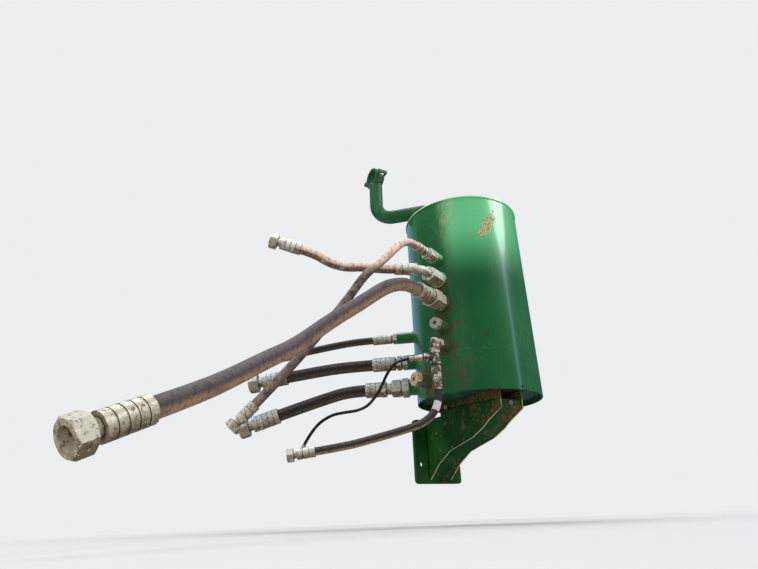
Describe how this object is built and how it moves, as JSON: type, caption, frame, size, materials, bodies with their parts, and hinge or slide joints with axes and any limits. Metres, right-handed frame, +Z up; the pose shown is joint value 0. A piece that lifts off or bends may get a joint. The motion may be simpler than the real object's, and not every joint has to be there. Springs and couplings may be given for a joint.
{
  "type": "hydraulic oil tank",
  "caption": "Upright cylindrical hydraulic oil tank on a folded steel bracket, with filler cap, hose carrier arm, ports, crimped couplings and its own hoses.",
  "frame": {"origin": "middle of the four bolt holes, on the bracket's mounting face", "axes": "+Z up along the tank, +Y out of the mounting face into the machine, +X to the right seen from outside"},
  "size_m": [1.0942, 0.7974, 0.9497],
  "materials": {
    "green_paint": "glossy green enamel, dusty, with rust patches",
    "bracket_paint": "green enamel under dried red-brown dirt",
    "zinc": "dull zinc plate, dusty",
    "yellow_zinc": "yellow passivated zinc plate",
    "hose_rubber": "wrapped rubber cover, dusty on top",
    "line_plastic": "black tube",
    "cap_plastic": "moulded black"
  },
  "bodies": {
    "tank": {"back_plate": "bracket_paint", "bracket_bolts": "zinc", "bracket_web": "bracket_paint", "branch_elbow": "zinc", "branch_elbow_nut": "zinc", "branch_tee": "zinc", "carrier_arm": "green_paint", "carrier_saddle": "green_paint", "carrier_strap": "green_paint", "clamp_bolts": "zinc", "drain_boss": "green_paint", "drain_plug": "yellow_zinc", "filler_neck": "green_paint", "foot_channel": "bracket_paint", "gusset_left": "bracket_paint", "gusset_right": "bracket_paint", "level_plug": "zinc", "return_coupling": "zinc", "return_end": "zinc", "return_hose": "hose_rubber", "sensor_coupling": "zinc", "sensor_end": "zinc", "sensor_line": "line_plastic", "suction_1_coupling": "zinc", "suction_1_end": "zinc", "suction_1_hose": "hose_rubber", "suction_2_coupling": "zinc", "suction_2_end": "zinc", "suction_2_hose": "hose_rubber", "suction_3_coupling": "yellow_zinc", "suction_3_end": "yellow_zinc", "suction_3_hose": "hose_rubber", "suction_bosses": "green_paint", "supply_1_adapter": "zinc", "supply_1_coupling": "zinc", "supply_1_end": "zinc", "supply_1_hose": "hose_rubber", "supply_2_adapter": "zinc", "supply_2_coupling": "zinc", "supply_2_elbow": "zinc", "supply_2_end": "zinc", "supply_2_hose": "hose_rubber", "supply_3_adapter": "zinc", "supply_3_coupling": "zinc", "supply_3_end": "zinc", "supply_3_hose": "hose_rubber", "supply_bosses": "green_paint", "tank_floor": "green_paint", "tank_shell": "green_paint", "top_head": "green_paint"},
    "cap": {"filler_cap": "cap_plastic"}
  },
  "joints": [
    {"name": "cap_lift", "type": "slide", "parent": "tank", "child": "cap", "axis": [0, 0, 1], "range_m": [0, 0.06]}
  ]
}
